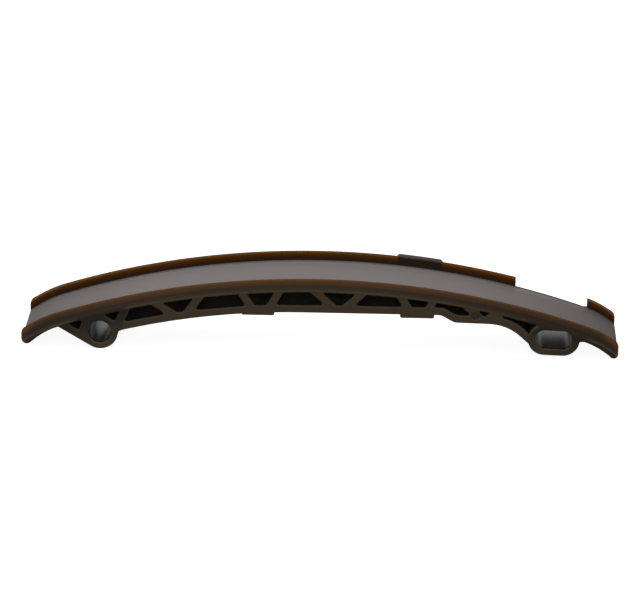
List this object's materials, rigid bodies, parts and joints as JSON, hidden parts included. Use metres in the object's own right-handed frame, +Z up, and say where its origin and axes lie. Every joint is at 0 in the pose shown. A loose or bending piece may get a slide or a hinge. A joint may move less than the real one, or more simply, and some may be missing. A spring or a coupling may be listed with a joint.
{
  "type": "timing chain guide",
  "caption": "Curved moulded plastic chain guide: a flanged running channel on a pocketed truss, with a round bolt boss at one end and a slotted boss at the other.",
  "frame": {"origin": "middle of the bottom of the part's box, with the guide standing on its round boss and its right tip", "axes": "+X along the guide from the round boss to the slotted boss, +Y from the front face to the rear face along the bolt holes, +Z up towards the running face"},
  "size_m": [0.2336, 0.0338, 0.0307],
  "materials": {
    "moulded_polyamide": "semi-gloss dark brown, slightly see-through where it is thin"
  },
  "bodies": {
    "root": {"guide_rail": "moulded_polyamide"}
  },
  "joints": []
}
